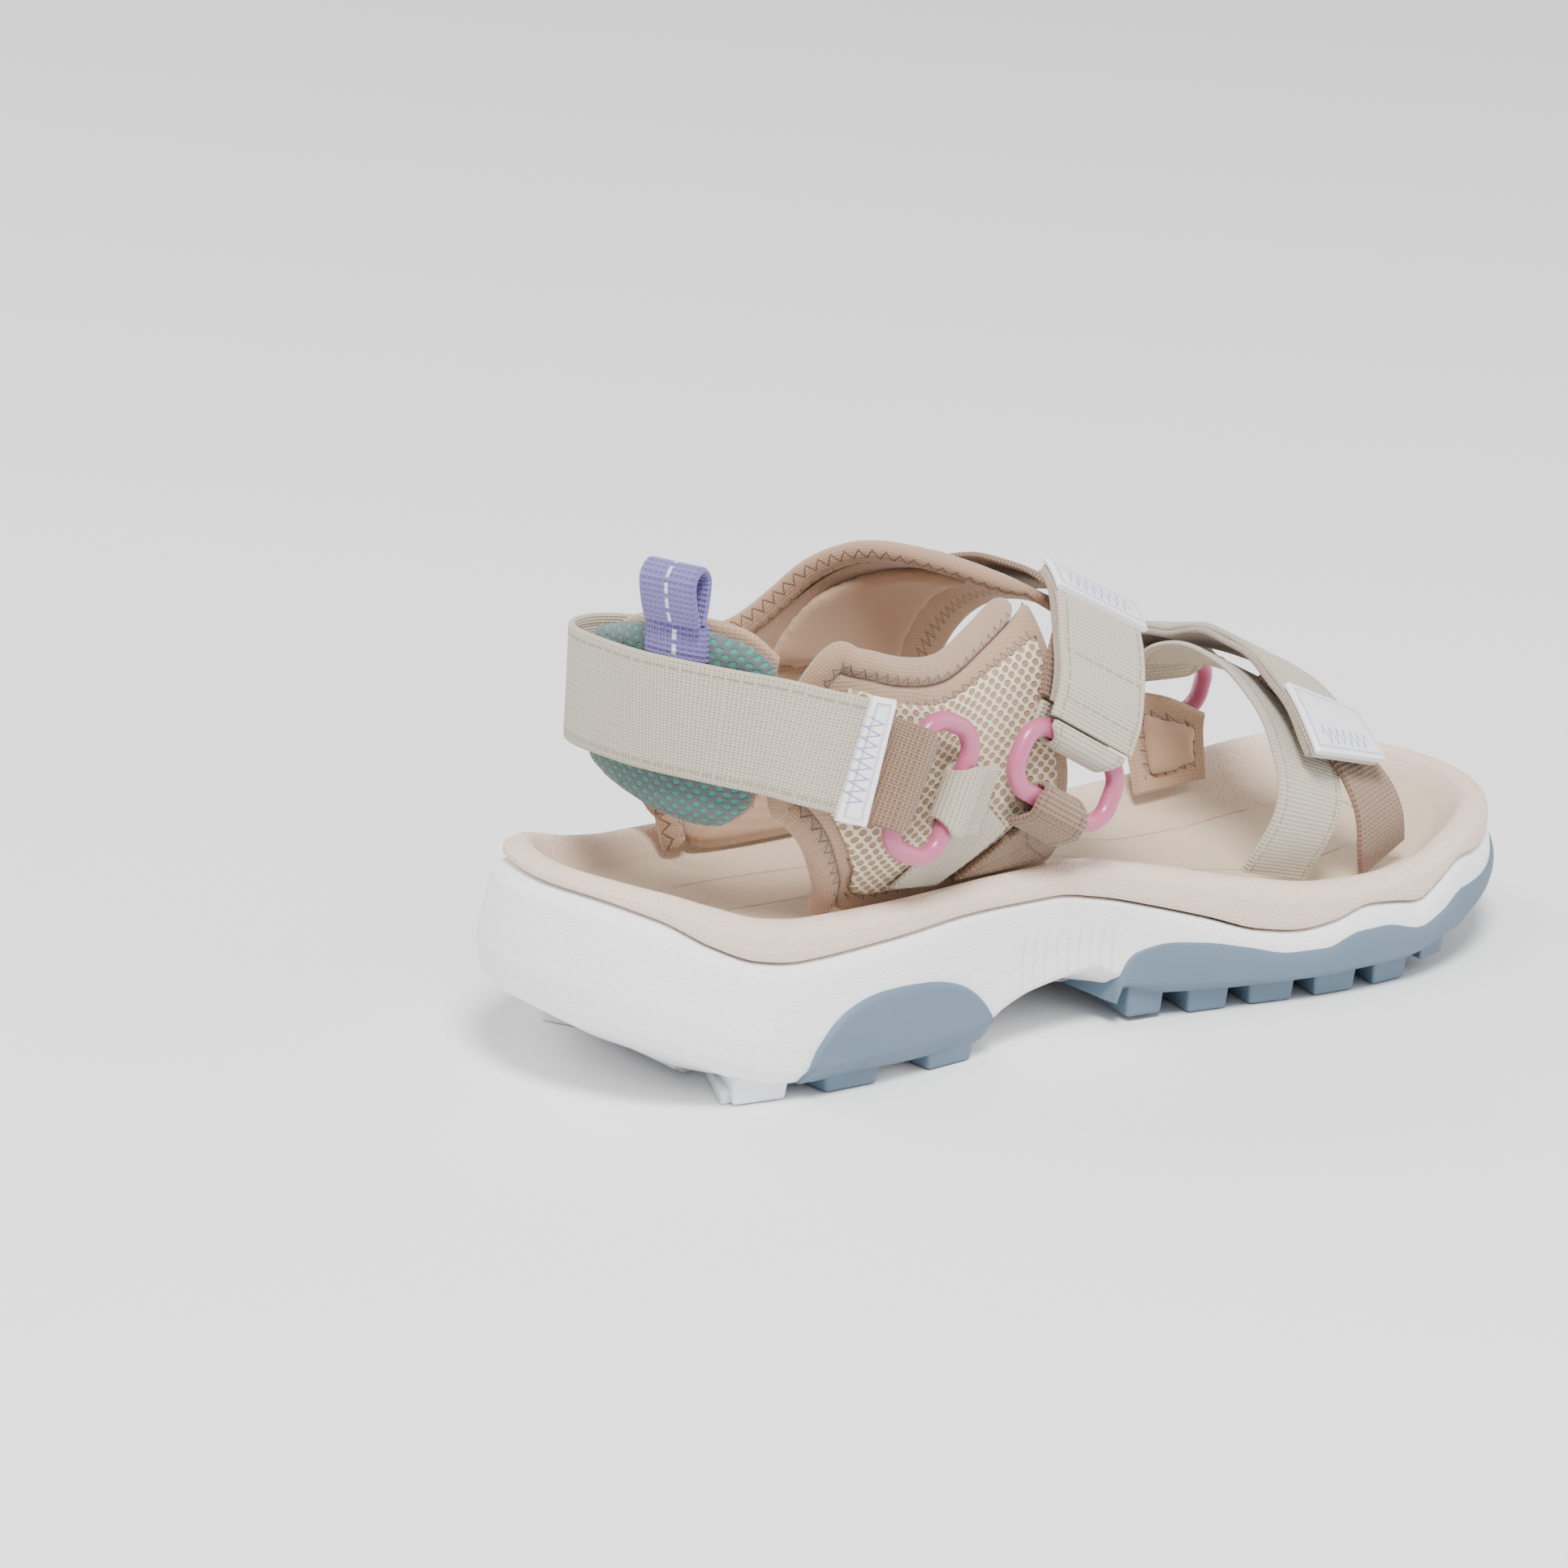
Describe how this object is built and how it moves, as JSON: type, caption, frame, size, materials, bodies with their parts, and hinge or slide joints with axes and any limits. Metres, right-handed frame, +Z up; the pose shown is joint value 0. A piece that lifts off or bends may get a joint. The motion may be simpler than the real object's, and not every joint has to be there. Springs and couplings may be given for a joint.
{
  "type": "strappy sport sandal",
  "caption": "Strappy sport sandal for the right foot: lugged platform sole, padded mesh quarters and hook-and-loop straps turned round moulded rings.",
  "frame": {"origin": "on the ground under the middle of the whole sandal", "axes": "+X from the heel to the toe, +Y to the medial side, where the big toe is, +Z up"},
  "size_m": [0.26, 0.095, 0.1097],
  "materials": {
    "footbed_foam": "soft foam with a fine leathery grain",
    "midsole_foam": "moulded foam, fine grain",
    "outsole_rubber": "matt",
    "clear_rubber": "satin",
    "lining": "knitted over soft foam",
    "air_mesh": "open knit with oval holes",
    "cream_webbing": "ribbed weave",
    "tan_webbing": "ribbed weave",
    "lilac_webbing": "ribbed weave",
    "hook_tape": "fuzzy",
    "spacer_mesh": "knitted spacer mesh",
    "ring_plastic": "semi-gloss",
    "tab_plastic": "satin, slightly translucent"
  },
  "bodies": {
    "sandal": {"footbed": "footbed_foam", "midsole": "midsole_foam", "forefoot_outsole": "outsole_rubber", "heel_patch_lateral": "outsole_rubber", "heel_patch_medial": "outsole_rubber", "heel_tread": "clear_rubber", "quarter_lining_lateral": "lining", "quarter_mesh_lateral": "air_mesh", "quarter_binding_lateral": "lining", "quarter_lining_medial": "lining", "quarter_mesh_medial": "air_mesh", "quarter_binding_medial": "lining", "instep_pad": "lining", "slant_strip_lateral": "cream_webbing", "anchor_patch_lateral": "tan_webbing", "heel_ring_lateral": "ring_plastic", "heel_anchor_lateral": "cream_webbing", "ankle_anchor_lateral": "tan_webbing", "slant_strip_medial": "cream_webbing", "anchor_patch_medial": "tan_webbing", "heel_ring_medial": "ring_plastic", "heel_anchor_medial": "cream_webbing", "ankle_ring_medial": "ring_plastic", "ankle_anchor_medial": "tan_webbing", "heel_pad": "spacer_mesh", "heel_pad_lining": "lining", "heel_strap": "cream_webbing", "heel_strap_tail": "tan_webbing", "pull_loop_end": "lilac_webbing", "ankle_strap": "tan_webbing", "toe_panel": "lining", "toe_panel_pad": "lining", "toe_anchor": "tan_webbing", "toe_strap": "cream_webbing", "toe_side_strap": "tan_webbing"},
    "heel_flap": {"heel_strap_flap": "cream_webbing", "heel_flap_hook_tape": "hook_tape", "heel_flap_tab": "tab_plastic"},
    "pull_loop": {"pull_loop": "lilac_webbing"},
    "ankle_ring": {"ankle_ring_lateral": "ring_plastic", "ankle_strap_fold": "cream_webbing"},
    "ankle_flap": {"ankle_strap_flap": "cream_webbing", "ankle_flap_hook_tape": "hook_tape", "ankle_flap_tab": "tab_plastic"},
    "toe_ring": {"toe_ring": "ring_plastic", "toe_strap_fold": "cream_webbing"},
    "toe_flap": {"toe_strap_flap": "cream_webbing", "toe_flap_hook_tape": "hook_tape", "toe_flap_tab": "tab_plastic"}
  },
  "joints": [
    {"name": "heel_flap_peel", "type": "hinge", "parent": "sandal", "child": "heel_flap", "pos_m": [-0.09848, -0.02502, 0.07761], "axis": [-0.0552, 0.059, -0.9967], "range_deg": [0, 90]},
    {"name": "pull_loop_bend", "type": "hinge", "parent": "sandal", "child": "pull_loop", "pos_m": [-0.10213, -0.01356, 0.0975], "axis": [0.3148, -0.9492, 0], "range_deg": [-15, 25], "stiffness_Nm_per_rad": 0.004},
    {"name": "ankle_ring_tilt", "type": "hinge", "parent": "sandal", "child": "ankle_ring", "pos_m": [-0.02227, -0.03999, 0.05337], "axis": [0.8657, -0.0327, -0.4995], "range_deg": [0, 20]},
    {"name": "ankle_flap_peel", "type": "hinge", "parent": "ankle_ring", "child": "ankle_flap", "pos_m": [-0.01413, -0.04189, 0.06761], "axis": [0.8657, -0.0327, -0.4995], "range_deg": [0, 110]},
    {"name": "toe_ring_tilt", "type": "hinge", "parent": "sandal", "child": "toe_ring", "pos_m": [0.07479, 0.04267, 0.03632], "axis": [-0.9951, 0.0953, 0.026], "range_deg": [0, 20]},
    {"name": "toe_flap_peel", "type": "hinge", "parent": "toe_ring", "child": "toe_flap", "pos_m": [0.07516, 0.04198, 0.05282], "axis": [-0.9951, 0.0953, 0.026], "range_deg": [0, 100]}
  ]
}
